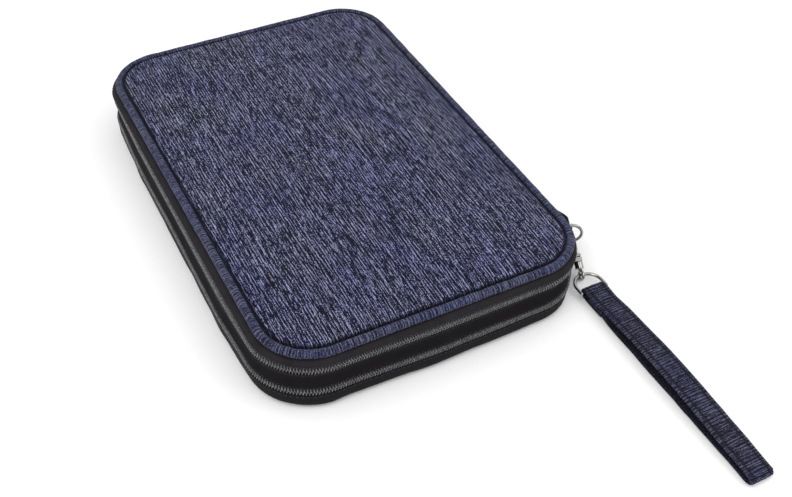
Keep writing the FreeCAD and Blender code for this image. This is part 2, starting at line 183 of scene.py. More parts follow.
def rounded_box(sides, half_wide, half_thick, wide_power, thick_power):
    """The outline of a strip's cut end, with rounded corners. Lower powers make it squarer."""
    angles = np.arange(sides) * 2 * math.pi / sides
    wide = np.sign(np.cos(angles)) * np.abs(np.cos(angles)) ** wide_power * half_wide
    thick = np.sign(np.sin(angles)) * np.abs(np.sin(angles)) ** thick_power * half_thick
    return np.stack((wide, thick), axis=1)


def ribbon_section(middle, thickness, step=0.7):
    """A closed outline of even thickness round a middle line, with a point past each end."""
    line = curve_through(middle, step)
    along, side = directions(line)
    side = side * thickness / 2
    first = line[:1] - along[:1] * thickness / 2
    last = line[-1:] + along[-1:] * thickness / 2
    return np.concatenate((first, line + side, last, (line - side)[::-1]))


def skin(name, points, us, vs, around=False, along=False, capped=False):
    """A mesh over rows of points, with the lengths us and vs, in metres, as its UV map."""
    rows, columns = points.shape[:2]
    faces, corners = [], []
    for i in range(rows if along else rows - 1):
        j = (i + 1) % rows
        for k in range(columns if around else columns - 1):
            m = (k + 1) % columns
            faces.append((i * columns + k, i * columns + m, j * columns + m, j * columns + k))
            corners += [(us[i], vs[k]), (us[i], vs[k + 1]), (us[i + 1], vs[k + 1]), (us[i + 1], vs[k])]
    if capped:
        for row in (0, rows - 1):
            faces.append(tuple(row * columns + k for k in range(columns)))
            corners += [(us[row], vs[k]) for k in range(columns)]
    return mesh_piece(name, points.reshape(-1, 3), faces, corners)


def mesh_piece(name, verts, faces, corners=None, sharp=50):
    """An object from points in millimetres and faces, smooth but for edges sharper than an angle."""
    mesh = bpy.data.meshes.new(name)
    mesh.from_pydata((np.asarray(verts) * MM).tolist(), [], faces)
    if corners is not None:
        layer = mesh.uv_layers.new(name="lengths")
        layer.data.foreach_set("uv", np.asarray(corners, np.float32).ravel())
    shell = bmesh.new()
    shell.from_mesh(mesh)
    bmesh.ops.recalc_face_normals(shell, faces=shell.faces)
    shell.to_mesh(mesh)
    shell.free()
    mesh.polygons.foreach_set("use_smooth", [True] * len(mesh.polygons))
    mesh.set_sharp_from_angle(angle=math.radians(sharp))
    made = bpy.data.objects.new(name, mesh)
    bpy.context.scene.collection.objects.link(made)
    return made


def tube_faces(begin, rings, sides):
    """The sides of a tube whose rings of points start at an index, and a cap on its first ring."""
    faces = []
    for ring in range(rings - 1):
        for k in range(sides):
            m = (k + 1) % sides
            low = begin + ring * sides
            faces.append((low + k, low + m, low + sides + m, low + sides + k))
    faces.append(tuple(range(begin, begin + sides)))
    return faces


def paint_seam_shade(piece, values):
    """Stores painted shade for each point, from 0 to 1: how deep in a seam or in shadow it lies. The cloth's
    material darkens with it.
    """
    layer = piece.data.attributes.new("painted_seam_shade", "FLOAT", "POINT")
    layer.data.foreach_set("value", np.asarray(values, np.float32).ravel())


def dress(piece, material, body=None, nodes=()):
    """Gives a piece its material, body and slot, and hides the CAD nodes that it stands for."""
    piece.data.materials.append(material)
    if body:
        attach(piece, body)
    if nodes:
        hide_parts(*nodes)
    return piece


class Rim:
    """The way round the rim: corner centres and sides of the inner rectangle, with outward directions.

    It starts at the spine's front end and runs clockwise seen from above. closed adds the spine's side.
    """

    def __init__(self, step, closed=False):
        centres = ((1, -1), (-1, -1), (-1, 1), (1, 1))
        base, out, run = [], [], []
        travelled = 0.0
        turns = int(round(CORNER_RADIUS * math.pi / 2 / step))
        for index, (sx, sy) in enumerate(centres):
            centre = np.array((sx * CORNER_X, sy * CORNER_Y))
            for k in range(turns):
                angle = -math.pi / 2 * (index + k / turns)
                base.append(centre)
                out.append((math.cos(angle), math.sin(angle)))
                run.append(travelled + CORNER_RADIUS * math.pi / 2 * k / turns)
            travelled += CORNER_RADIUS * math.pi / 2
            if index == 3 and not closed:
                break
            nx, ny = centres[(index + 1) % 4]
            target = np.array((nx * CORNER_X, ny * CORNER_Y))
            side = np.linalg.norm(target - centre)
            angle = -math.pi / 2 * (index + 1)
            count = int(round(side / step))
            for k in range(count):
                base.append(centre + (target - centre) * k / count)
                out.append((math.cos(angle), math.sin(angle)))
                run.append(travelled + side * k / count)
            travelled += side
        if not closed:
            base.append(np.array((CORNER_X, CORNER_Y)))
            out.append((1.0, 0.0))
            run.append(travelled)
        self.closed = closed
        self.base = np.array(base)
        self.out = np.array(out)
        self.run = np.array(run)
        self.length = travelled

    def place(self, offset, z):
        """Points at offsets and heights, given as arrays with one row for each step of the way."""
        flat = self.base[:, None, :] + self.out[:, None, :] * (CORNER_RADIUS + offset)[:, :, None]
        return np.concatenate((flat, z[:, :, None]), axis=2)

    def slack(self, z, runs=None):
        """How far the bands' soft cloth stands in or out at heights, zero at the lid's edge."""
        runs = self.run[:, None] if runs is None else runs
        sway = np.interp(runs, SLACK_RUN, SLACK)
        return sway * smooth((SLACK_TOP - z) / (SLACK_TOP - SLACK_FULL))

    def at(self, runs):
        """Base point, outward direction and way forward at distances along the rim."""
        base = np.stack([np.interp(runs, self.run, self.base[:, i]) for i in (0, 1)], axis=1)
        angle = np.interp(runs, self.run, np.unwrap(np.arctan2(self.out[:, 1], self.out[:, 0])))
        out = np.stack((np.cos(angle), np.sin(angle)), axis=1)
        forward = np.stack((out[:, 1], -out[:, 0]), axis=1)
        return base, out, forward


def tucked_in(offset, run, total):
    """An offset along an open way, drawn in under the spine towards both ends."""
    share = smooth(np.minimum(run, total - run) / TUCK_REACH)
    return TUCKED_OFFSET + (offset - TUCKED_OFFSET) * (TUCKED_SHARE + (1 - TUCKED_SHARE) * share)


def swept(name, rim, section, swell=None, tucked=False, soft=False):
    """A piece with one cross-section, (offset, height) points, all along the rim.

    swell gives how far each point moves outward from the section, from distances along and round.
    """
    section = np.asarray(section, float)
    round_run = girth(section)
    along = np.roll(section, -1, axis=0) - np.roll(section, 1, axis=0)
    normal = np.stack((along[:, 1], -along[:, 0]), axis=1)
    normal /= np.linalg.norm(normal, axis=1)[:, None]
    centre = section.mean(axis=0)
    if ((section - centre) * normal).sum() < 0:
        normal = -normal
    move = np.zeros((len(rim.run), len(section)))
    if swell is not None:
        move = swell(rim.run[:, None], round_run[None, :-1])
    offset = section[None, :, 0] + normal[None, :, 0] * move
    z = section[None, :, 1] + normal[None, :, 1] * move
    if tucked:
        offset = tucked_in(offset, rim.run[:, None], rim.length)
    if soft:
        offset = offset + rim.slack(z)
    us = np.append(rim.run, rim.length) * MM
    return skin(name, rim.place(offset, z), us, round_run * MM, True, rim.closed, not rim.closed)


def edge_distance(points):
    """How far points of the plan are inside the rim outline, negative outside."""
    reach = np.abs(points) - np.array((CORNER_X, CORNER_Y))
    outside = np.linalg.norm(np.maximum(reach, 0.0), axis=1)
    inside = np.minimum(reach.max(axis=1), 0.0)
    return CORNER_RADIUS - outside - inside


def plan_mesh(offset, pitch):
    """Points and triangles that fill the rim outline at an offset: rings near the edge, a grid inside."""
    rim = Rim(2.2, closed=True)
    zeros = np.zeros((len(rim.run), 1))
    loops = [rim.place(zeros + offset - inset, zeros)[:, 0, :2] for inset in RINGS_NEAR_EDGE]
    extent = np.array((CORNER_X, CORNER_Y)) + CORNER_RADIUS
    xs = np.arange(-extent[0], extent[0], pitch)
    ys = np.arange(-extent[1], extent[1], pitch)
    gx, gy = np.meshgrid(xs, ys)
    gx[::2] += pitch / 2
    inner = np.stack((gx.ravel(), gy.ravel()), axis=1)
    inner = inner[edge_distance(inner) + offset > RINGS_NEAR_EDGE[-1] + pitch * 0.6]
    points = np.concatenate(loops + [inner])
    count = len(loops[0])
    border = [(i, (i + 1) % count) for i in range(count)]
    plan = delaunay_2d_cdt([Vector(p) for p in points.tolist()], border, [], 1, 1e-6)
    return np.array([tuple(v) for v in plan[0]]), [tuple(face) for face in plan[2]]


def pad_shape(name, offset, low, high, pitch, rounding):
    """A closed pad between two heights, rounded along its edge, with puckers in its top."""
    plan, triangles = plan_mesh(offset, pitch)
    inset = edge_distance(plan) + offset
    sunk = 1.0 - np.clip(inset / rounding, 0.0, 1.0)
    fall = 1.0 - np.sqrt(np.maximum(1.0 - sunk**2, 0.0))
    top = high - rounding * 0.8 * fall + puckers(plan, inset)
    bottom = low + rounding * 0.5 * fall
    count = len(plan)
    upper = np.column_stack((plan, top))
    lower = np.column_stack((plan, bottom))
    faces = [tuple(f) for f in triangles]
    faces += [tuple(i + count for i in reversed(f)) for f in triangles]
    edge = [i for i in range(count) if inset[i] < 0.01]
    edge.sort(key=lambda i: math.atan2(plan[i][1], plan[i][0]))
    for a, b in zip(edge, edge[1:] + edge[:1]):
        faces.append((a, b, b + count, a + count))
    made = mesh_piece(name, np.concatenate((upper, lower)), faces, sharp=80)
    return made, np.concatenate((inset, inset)), count


def puff_up(piece, held, pressure, cap):
    """Inflates a closed cloth with some points held, and keeps each point within the cap, in metres."""
    scene = bpy.context.scene
    group = piece.vertex_groups.new(name="held")
    for index, weight in enumerate(held):
        if weight > 0:
            group.add([index], float(weight), "REPLACE")
    rest = np.array([v.co for v in piece.data.vertices])
    cloth = piece.modifiers.new("cloth", "CLOTH")
    settings = cloth.settings
    settings.quality = 4
    settings.mass = 0.15
    settings.tension_stiffness = 12
    settings.compression_stiffness = 12
    settings.shear_stiffness = 6
    settings.bending_stiffness = 0.4
    settings.use_pressure = True
    settings.uniform_pressure_force = pressure
    settings.vertex_group_mass = "held"
    settings.effector_weights.gravity = 0.0
    cloth.collision_settings.use_collision = False
    for number in range(1, 21):
        scene.frame_set(number)
    view = bpy.context.evaluated_depsgraph_get()
    swollen = piece.evaluated_get(view).data
    moved = np.array([v.co for v in swollen.vertices]) - rest
    scene.frame_set(1)
    piece.modifiers.remove(cloth)
    piece.vertex_groups.remove(group)
    size = np.linalg.norm(moved, axis=1)[:, None]
    kept = cap * np.tanh(size / cap)
    moved *= np.where(size > 1e-9, kept / np.maximum(size, 1e-9), 0.0)
    piece.data.vertices.foreach_set("co", (rest + moved).astype(np.float32).ravel())
    piece.data.update()


def thread(name, points, normals, stitch=2.3, gap=0.8, radius=0.17, sink=0.4):
    """A row of stitches along a line that lies on a surface: a small capsule of thread for each."""
    points = np.asarray(points, float)
    normals = np.broadcast_to(normals, points.shape)
    run = lengths(points)
    starts = np.arange(gap, run[-1] - stitch, stitch + gap)
    shares = np.array((0.0, 0.12, 0.5, 0.88, 1.0))
    widths = np.array((0.35, 0.85, 1.0, 0.85, 0.35))
    dips = np.array((-1.2, -0.3, 0.25, -0.3, -1.2))
    sides = 6
    verts, faces = [], []

    def at(values, distance):
        return np.array([np.interp(distance, run, values[:, i]) for i in range(3)])

    for start in starts:
        begin = len(verts)
        ahead = at(points, start + stitch) - at(points, start)
        ahead /= np.linalg.norm(ahead)
        for share, width, dip in zip(shares, widths, dips):
            normal = at(normals, start + stitch * share)
            normal /= np.linalg.norm(normal)
            across = np.cross(ahead, normal)
            middle = at(points, start + stitch * share) + normal * radius * (dip + 1 - 2 * sink)
            for k in range(sides):
                angle = 2 * math.pi * k / sides
                verts.append(middle + radius * width * (across * math.cos(angle) + normal * math.sin(angle)))
        faces += tube_faces(begin, len(shares), sides)
        faces.append(tuple(range(len(verts) - sides, len(verts))))
    return mesh_piece(name, verts, faces)


# ---- materials


def rgb(red, green, blue):
    """A shader colour from screen values of 0 to 255."""
    def linear(value):
        share = value / 255.0
        return share / 12.92 if share <= 0.04045 else ((share + 0.055) / 1.055) ** 2.4
    return linear(red), linear(green), linear(blue), 1.0


def new_material(name, roughness, **sockets):
    made = bpy.data.materials.new(name)
    made.use_nodes = True
    shader = made.node_tree.nodes["Principled BSDF"]
    shader.inputs["Roughness"].default_value = roughness
    for socket, value in sockets.items():
        shader.inputs[socket.replace("_", " ")].default_value = value
    return made, made.node_tree, shader


def node(tree, kind, inputs=(), **settings):
    made = tree.nodes.new("ShaderNode" + kind)
    for key, value in settings.items():
        setattr(made, key, value)
    for key, value in dict(inputs).items():
        if isinstance(value, bpy.types.NodeSocket):
            tree.links.new(value, made.inputs[key])
        else:
            made.inputs[key].default_value = value
    return made


def scaled_noise(tree, vector, sizes, detail=2.0, shift=0.0):
    """Noise whose cells have the given sizes, in millimetres, along the three axes."""
    mapping = node(tree, "Mapping", {
        "Vector": vector,
        "Location": (shift, shift * 1.7, shift * 0.6),
        "Scale": tuple(1000.0 / size for size in sizes),
    })
    return node(tree, "TexNoise", {
        "Vector": mapping.outputs[0],
        "Scale": 1.0,
        "Detail": detail,
        "Roughness": 0.55,
    }).outputs["Fac"]


def maths(tree, operation, *values):
    return node(tree, "Math", dict(enumerate(values)), operation=operation).outputs[0]


def ramp(tree, value, stops):
    made = node(tree, "ValToRGB", {"Fac": value})
    elements = made.color_ramp.elements
    while len(elements) < len(stops):
        elements.new(0.5)
    for element, (position, colour) in zip(elements, stops):
        element.position = position
        element.color = colour
    return made.outputs["Color"]


def blend_colours(tree, kind, share, first, second):
    made = node(tree, "Mix", {"Factor": share}, data_type="RGBA", blend_type=kind)
    for index, value in ((6, first), (7, second)):
        if isinstance(value, bpy.types.NodeSocket):
            tree.links.new(value, made.inputs[index])
        else:
            made.inputs[index].default_value = value
    return made.outputs[2]


def add_bump(tree, shader, height, strength, distance):
    made = node(tree, "Bump", {"Height": height, "Strength": strength, "Distance": distance * MM})
    tree.links.new(made.outputs[0], shader.inputs["Normal"])


def grey(level):
    return (level, level, level, 1.0)


def times(colour, share):
    return tuple(c * share for c in colour[:3]) + (1.0,)


def set_by(tree, shader, socket, value, *stops):
    """Sets a shader's socket from a value, by a ramp."""
    tree.links.new(ramp(tree, value, stops), shader.inputs[socket])


def weighted(tree, parts):
    """The sum of values times weights."""
    total = 0.0
    for value, weight in parts:
        total = maths(tree, "MULTIPLY_ADD", value, weight, total)
    return total


def heather(name, source, dark, middle, light, bright, cool, warm):
    """Melange cloth: pale and dark slubs across the first axis, with soft cooler and warmer patches."""
    made, tree, shader = new_material(name, 0.85, Sheen_Weight=0.05, Sheen_Roughness=0.5)
    shader.inputs["Specular IOR Level"].default_value = 0.2
    place = node(tree, "TexCoord").outputs[source]
    across = maths(tree, "MULTIPLY", node(tree, "SeparateXYZ", {0: place}).outputs["X"], RIDGE_TURNS)
    bend = maths(tree, "MULTIPLY", scaled_noise(tree, place, (5.0, 40.0, 20.0), 1.0, 5.5), RIDGE_DRIFT)
    wave = maths(tree, "SINE", maths(tree, "ADD", across, bend))
    ridges = maths(tree, "MULTIPLY_ADD", wave, 0.5, 0.5)
    total = weighted(tree, (
        (ridges, 0.1),
        (scaled_noise(tree, place, (0.36, 14.0, 6.0), 0.0, 9.4), 0.29),
        (scaled_noise(tree, place, (0.33, 4.0, 3.0), 0.0), 0.29),
        (scaled_noise(tree, place, (0.34, 0.8, 0.8), 0.0, 3.1), 0.32),
    ))
    cloth = ramp(tree, total, ((0.45, dark), (0.505, middle), (0.545, light), (0.6, bright)))
    patch = scaled_noise(tree, place, (30.0, 60.0, 30.0), 2.0, 1.3)
    tint = ramp(tree, patch, ((0.38, cool), (0.62, warm)))
    tinted = blend_colours(tree, "MULTIPLY", 1.0, cloth, tint)
    # Painted shade: the stored seam shade darkens the cloth in seams and shadowed hollows.
    depth = node(tree, "Attribute", attribute_name="painted_seam_shade").outputs["Fac"]
    shade = ramp(tree, depth, ((0.0, grey(1.0)), (1.0, (0.12, 0.12, 0.2, 1.0))))
    tree.links.new(blend_colours(tree, "MULTIPLY", 1.0, tinted, shade), shader.inputs["Base Color"])
    set_by(tree, shader, "Roughness", total, (0.42, grey(0.92)), (0.6, grey(0.68)))
    add_bump(tree, shader, total, 0.7, 0.5)
    return made


def woven(name, source, colour, pitch, depth, roughness=0.78, contrast=0.7, sheen=0.02):
    """Plain weave: small raised threads over and under, with a little change from thread to thread."""
    made, tree, shader = new_material(name, roughness, Sheen_Weight=sheen, Sheen_Roughness=0.4)
    shader.inputs["Specular IOR Level"].default_value = 0.12
    place = node(tree, "TexCoord").outputs[source]
    scale = node(tree, "Mapping", {"Vector": place, "Scale": (1000 * math.pi / pitch,) * 3})
    split = node(tree, "SeparateXYZ", {0: scale.outputs[0]})
    waves = [maths(tree, "SINE", split.outputs[axis]) for axis in ("X", "Y", "Z")]
    if source == "UV":
        product = maths(tree, "MULTIPLY", waves[0], waves[1])
    else:
        product = maths(tree, "MULTIPLY", waves[0], maths(tree, "ADD", waves[1], waves[2]))
    height = maths(tree, "MULTIPLY_ADD", product, 0.5, 0.5)
    threads = scaled_noise(tree, place, (0.9, 4.0, 4.0), 2.0, 2.2)
    patches = scaled_noise(tree, place, (9.0, 9.0, 9.0), 2.0, 5.2)
    share = maths(tree, "MULTIPLY_ADD", height, contrast, maths(tree, "MULTIPLY_ADD", threads, 0.6))
    cloth = ramp(tree, share, ((0.2, times(colour, 0.45)), (0.75, times(colour, 1.6))))
    shade = ramp(tree, patches, ((0.3, grey(0.8)), (0.7, grey(1.15))))
    tree.links.new(blend_colours(tree, "MULTIPLY", 1.0, cloth, shade), shader.inputs["Base Color"])
    add_bump(tree, shader, height, 0.5, depth)
    return made


def ribbed(name, colour, pitch, angled=0.0, roughness=0.6):
    """Narrow ribs along the first UV axis, or a herringbone zigzag across it where angled."""
    made, tree, shader = new_material(name, roughness, Sheen_Weight=0.08)
    place = node(tree, "TexCoord").outputs["UV"]
    split = node(tree, "SeparateXYZ", {0: place})
    zigzag = maths(tree, "PINGPONG", split.outputs["Y"], 0.9 * MM)
    lean = maths(tree, "MULTIPLY_ADD", zigzag, angled, split.outputs["X" if angled else "Y"])
    wave = maths(tree, "SINE", maths(tree, "MULTIPLY", lean, 2000 * math.pi / pitch))
    height = maths(tree, "MULTIPLY_ADD", wave, 0.5, 0.5)
    set_by(tree, shader, "Base Color", height, (0.15, times(colour, 0.5)), (0.85, times(colour, 1.5)))
    add_bump(tree, shader, height, 0.6, 0.15)
    return made


def plastic(name, colour, roughness, speckle):
    made, tree, shader = new_material(name, roughness)
    place = node(tree, "TexCoord").outputs["Object"]
    wear = scaled_noise(tree, place, (1.4, 1.4, 1.4), 3.0)
    low, high = times(colour, 1 - speckle), times(colour, 1 + speckle)
    set_by(tree, shader, "Base Color", wear, (0.35, low), (0.65, high))
    set_by(tree, shader, "Roughness", wear, (0.3, grey(roughness * 0.8)), (0.7, grey(roughness * 1.25)))
    return made


def polished(name, colour, roughness, metallic=1.0):
    """Plated or painted metal, with a faint uneven gloss."""
    made, tree, shader = new_material(name, roughness, Metallic=metallic)
    place = node(tree, "TexCoord").outputs["Object"]
    smear = scaled_noise(tree, place, (2.0, 2.0, 2.0), 3.0)
    set_by(tree, shader, "Base Color", smear, (0.35, times(colour, 0.86)), (0.6, colour))
    set_by(tree, shader, "Roughness", smear, (0.3, grey(roughness * 0.6)), (0.7, grey(roughness * 1.7)))
    add_bump(tree, shader, scaled_noise(tree, place, (0.5, 0.5, 0.5), 2.0), 0.04, 0.05)
    return made


NAVY = dict(
    dark=rgb(0, 0, 12),
    middle=rgb(12, 13, 46),
    light=rgb(34, 37, 76),
    bright=rgb(136, 138, 168),
    cool=(0.93, 0.94, 1.06, 1.0),
    warm=(1.04, 1.04, 0.96, 1.0),
)
navy = heather("navy_heather", "Object", **NAVY)
navy_trim = heather("navy_heather_trim", "UV", **dict(
    NAVY, dark=rgb(14, 15, 38), middle=rgb(44, 47, 74), light=rgb(62, 65, 92), bright=rgb(96, 99, 124)))
strap_cloth = heather("strap_heather", "UV", **dict(
    NAVY, dark=rgb(12, 12, 30), middle=rgb(28, 29, 50), light=rgb(42, 43, 66), bright=rgb(86, 87, 110)))
# Painted shadow: dark cloth for the tube laid in the sunk seam between pad and piping.
seam_shadow = woven("seam_shade_tubes", "UV", rgb(24, 24, 46), 0.5, 0.1)
black_band = woven("black_band_weave", "UV", rgb(12, 10, 13), 0.8, 0.14)
# Painted light: a lighter copy of the band cloth for the lid's band, which faces upward and catches more
# light.
lit_lid_band = woven("band_weave_painted_light", "UV", rgb(26, 24, 27), 0.8, 0.14)
tape_cloth = ribbed("zip_tape_herringbone", rgb(8, 8, 9), 0.55, 1.0)
webbing_cloth = ribbed("webbing_ribs", rgb(26, 25, 28), 1.1)
elastic_cloth = ribbed("elastic_ribs", rgb(30, 29, 31), 0.8)
# Painted highlight: the teeth are light grey, standing in for glints on the dark nylon.
glint_grey_teeth = plastic("zip_teeth_glint_grey", rgb(112, 112, 116), 0.22, 0.5)
lining_cloth = woven("lining_weave", "Object", rgb(62, 62, 66), 0.5, 0.08, 0.6, 0.25, 0.2)
mesh_yarn = plastic("mesh_yarn", rgb(30, 30, 32), 0.6, 0.3)
black_thread = plastic("black_thread", rgb(20, 20, 24), 0.55, 0.3)
navy_thread = plastic("navy_thread", rgb(6, 6, 20), 0.8, 0.3)
# Painted reflection: the plate is darker than real chrome, standing in for dark surroundings that it would
# reflect.
chrome = polished("chrome_plate", (0.42, 0.41, 0.4, 1.0), 0.12)
zip_paint = polished("black_zip_enamel", (0.03, 0.03, 0.033, 1.0), 0.3, 0.5)

for name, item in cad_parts.items():
    finish = None
    if name in ("pouch_ring", "snap_hook_body", "gate_pin", "gate", "swivel_eye", "strap_ring"):
        finish = chrome
    elif name.endswith("_slider") or name.endswith("_pull"):
        finish = zip_paint
    if finish:
        for place in item.material_slots:
            place.material = finish


# ---- covers and piping


def puckers(plan, inset):
    """Small folds that run in from the seam and fade, and a soft unevenness further in."""
    angle = np.arctan2(plan[:, 1] / CORNER_Y, plan[:, 0] / CORNER_X)
    near = np.exp(-np.maximum(inset, 0.0) / 3.5) * smooth(inset / 1.2)
    folds = lattice(angle * 60, inset / 6.0, 11) * 0.16 * near
    return folds + lattice(plan[:, 0] / 26, plan[:, 1] / 30, 12) * 0.22 * smooth(inset / 12)


def cover_pad(name, body, low, high, upside_down, nodes):
    """The outer pad of a cover: cloth over foam, crowned, with its edge rounded down into the seam."""
    span = (low, high) if not upside_down else (-high, -low)
    piece, inset, count = pad_shape(name, PANEL_OFFSET - SEAM_GAP, *span, 3.0, 2.6)
    held = np.ones(len(inset))
    top = np.arange(len(inset)) < count
    held[top] = 1.0 - smooth((inset[top] - 1.5) / 4.0)
    puff_up(piece, held, 5.0, 0.9 * MM)
    if upside_down:
        piece.data.transform(Matrix.Scale(-1, 4, (0, 0, 1)))
        piece.data.flip_normals()
        for vertex in piece.data.vertices:
            vertex.co.z = max(vertex.co.z, 0.0)
    # Painted shade: darkens the pad's edge where it rounds down into the seam.
    paint_seam_shade(piece, 1.0 - smooth((inset - 0.3) / 1.3))
    return dress(piece, navy, body, nodes)


def wrinkled(run, turn):
    """Crosswise wrinkles of cloth drawn round a cord."""
    return lattice(run / 1.9, turn / 5.0, 21) * 0.09 + lattice(run / 6.0, turn / 6.0, 22) * 0.12


def circle(centre_offset, centre_z, radius, sides):
    angles = np.arange(sides) * 2 * math.pi / sides
    return np.stack((centre_offset + radius * np.cos(angles), centre_z + radius * np.sin(angles)), axis=1)


def piping(name, body, z, side, node_name):
    section = circle(PIPING_OFFSET, z, PIPING_RADIUS - 0.08, 20)
    rim = Rim(0.9, closed=True)
    piece = swept(name, rim, section, wrinkled)
    # Painted shade on the piping's inner side, toward the seam, and on its side toward the band.
    inward = smooth((PIPING_OFFSET - 1.45 - section[:, 0]) / 0.8)
    lower = smooth(((z - section[:, 1]) * side - 1.3) / 0.9)
    paint_seam_shade(piece, np.tile(np.maximum(inward, lower), len(rim.run)))
    return dress(piece, navy_trim, body, (node_name,))


low, high = node_box("lid_board")[0], node_box("lid_cover")[1]
cover_pad("lid_pad", "lid", low[2], high[2], False, ("lid_cover", "lid_board"))
low, high = node_box("base_cover")[0], node_box("base_board")[1]
cover_pad("base_pad", "base", low[2], high[2], True, ("base_cover", "base_board"))
piping("lid_edge_piping", "lid", LID_PIPING_Z, 1, "lid_piping")
piping("base_edge_piping", "base", BASE_PIPING_Z, -1, "base_piping")


def seam_shade_tubes(name, body, z, side):
    """Painted shadow: dark tubes in the sunk seam between pad and piping, and in the seam under the piping,
    standing in for the shade there.
    """
    rim = Rim(2.0, closed=True)
    inner = swept(name + "_inner", rim, circle(PANEL_OFFSET + 0.05, z - side * 0.4, 0.75, 8))
    dress(inner, seam_shadow, body)
    outer = swept(name + "_outer", rim, circle(-0.9, z - side * 2.3, 0.7, 8))
    dress(outer, black_band, body)


seam_shade_tubes("lid_seam", "lid", LID_PIPING_Z, 1)
seam_shade_tubes("base_seam", "base", BASE_PIPING_Z, -1)

# ---- side bands and zippers


def band_swell(seed):
    def swell(run, turn):
        return lattice(run / 14.0, turn / 9.0, seed) * 0.22 + lattice(run / 4.5, turn / 7.0, seed + 1) * 0.06
    return swell


def band(name, body, middle, node_name, seed, cloth=black_band):
    """A sewn strip of woven cloth round three sides, its ends tucked under the spine."""
    piece = swept(name, Rim(1.8), ribbon_section(middle, BAND_THICKNESS), band_swell(seed), True, True)
    length = Rim(1.8).length + 2 * math.pi * 0.75 * np.mean([p[0] for p in middle])
    return dress(piece, cloth, body, (node_name,))


band("lid_band", "lid", LID_BAND, "lid_gusset", 31, lit_lid_band)
band("tray_band", "tray", TRAY_BAND, "tray_gusset", 33)
band("base_band", "base", BASE_BAND, "base_gusset", 35)


def zip_half(body, level, zipper, side):
    """One half of a zipper: its tape, and its row of nylon teeth standing on the tape's edge."""
    name = "%s_%s_zip" % (body, level)
    middle, face = zipper
    rim = Rim(1.8)
    tape = [(face - 0.45, middle + side * 0.2), (face, middle + side * 0.2),
            (face, middle + side * 3.9), (face - 0.45, middle + side * 3.9)]
    piece = swept(name + "_tape", rim, tape, None, True, True)
    dress(piece, tape_cloth, body, ("%s_%s_tape" % (body, level),))
    arch = np.array((
        (0.1, -0.26), (0.75, -0.3), (1.2, 0.05), (1.42, 0.75), (1.3, 1.4), (0.8, 1.95), (0.0, 2.1)
    ))
    widths = np.array((0.16, 0.2, 0.21, 0.21, 0.21, 0.19, 0.14))
    sides = 6
    local = []
    for (out, up), wide, (d_out, d_up) in zip(arch, widths, directions(arch)[0]):
        for k in range(sides):
            angle = 2 * math.pi * (k + 0.5) / sides
            thick = 0.3 * math.sin(angle)
            local.append((wide * 1.15 * math.cos(angle), out - d_up * thick, up + d_out * thick))
    local = np.array(local)
    first = 2.0 + (TOOTH_PITCH / 2 if side < 0 else 0.0)
    runs = np.arange(first, rim.length - 2.0, TOOTH_PITCH)
    base, out, forward = rim.at(runs)
    stand = CORNER_RADIUS + tucked_in(face, runs, rim.length)
    stand = stand + rim.slack(np.full(len(runs), middle), runs)
    back = np.abs(base[:, 0]) < PARTED_HALF_WIDTH
    parted = (back & (out[:, 1] > 0.9))[:, None]
    up = np.where(parted, np.maximum(local[None, :, 2], 0.35), local[None, :, 2])
    lean = local[None, :, 0] + 0.28 * local[None, :, 2]
    flat = (
        base[:, None, :]
        + out[:, None, :] * (stand[:, None] + local[None, :, 1])[:, :, None]
        + forward[:, None, :] * lean[:, :, None]
    )
    verts = np.concatenate((flat, (middle + side * up)[:, :, None]), axis=2).reshape(-1, 3)
    faces = []
    for tooth in range(len(runs)):
        faces += tube_faces(tooth * len(local), len(arch), sides)
    teeth = mesh_piece(name + "_teeth", verts, faces)
    dress(teeth, glint_grey_teeth, body, ("%s_%s_coil" % (body, level),))


zip_half("lid", "upper", UPPER_ZIP, 1)
zip_half("tray", "upper", UPPER_ZIP, -1)
zip_half("tray", "lower", LOWER_ZIP, 1)
zip_half("base", "lower", LOWER_ZIP, -1)


def rim_stitches(name, body, offset, z, lean):
    """A row of topstitching on a band, along its folded edge beside the zipper."""
    rim = Rim(1.5)
    stand = tucked_in(offset, rim.run, rim.length)
    heights = np.full((len(rim.run), 1), z)
    points = rim.place(stand[:, None] + rim.slack(heights), heights)[:, 0]
    normals = np.column_stack((rim.out, np.full(len(rim.run), lean)))
    normals /= np.linalg.norm(normals, axis=1)[:, None]
    dress(thread(name, points, normals), black_thread, body)


rim_stitches("lid_band_stitches", "lid", 3.0, 32.35, 0.3)
rim_stitches("tray_band_upper_stitches", "tray", 2.85, 25.1, -0.3)
rim_stitches("tray_band_lower_stitches", "tray", 4.1, 16.9, 0.4)
rim_stitches("base_band_stitches", "base", 4.6, 9.9, 0.0)

# ---- spine

SPINE_LOW, SPINE_HIGH = node_box("spine_panel")


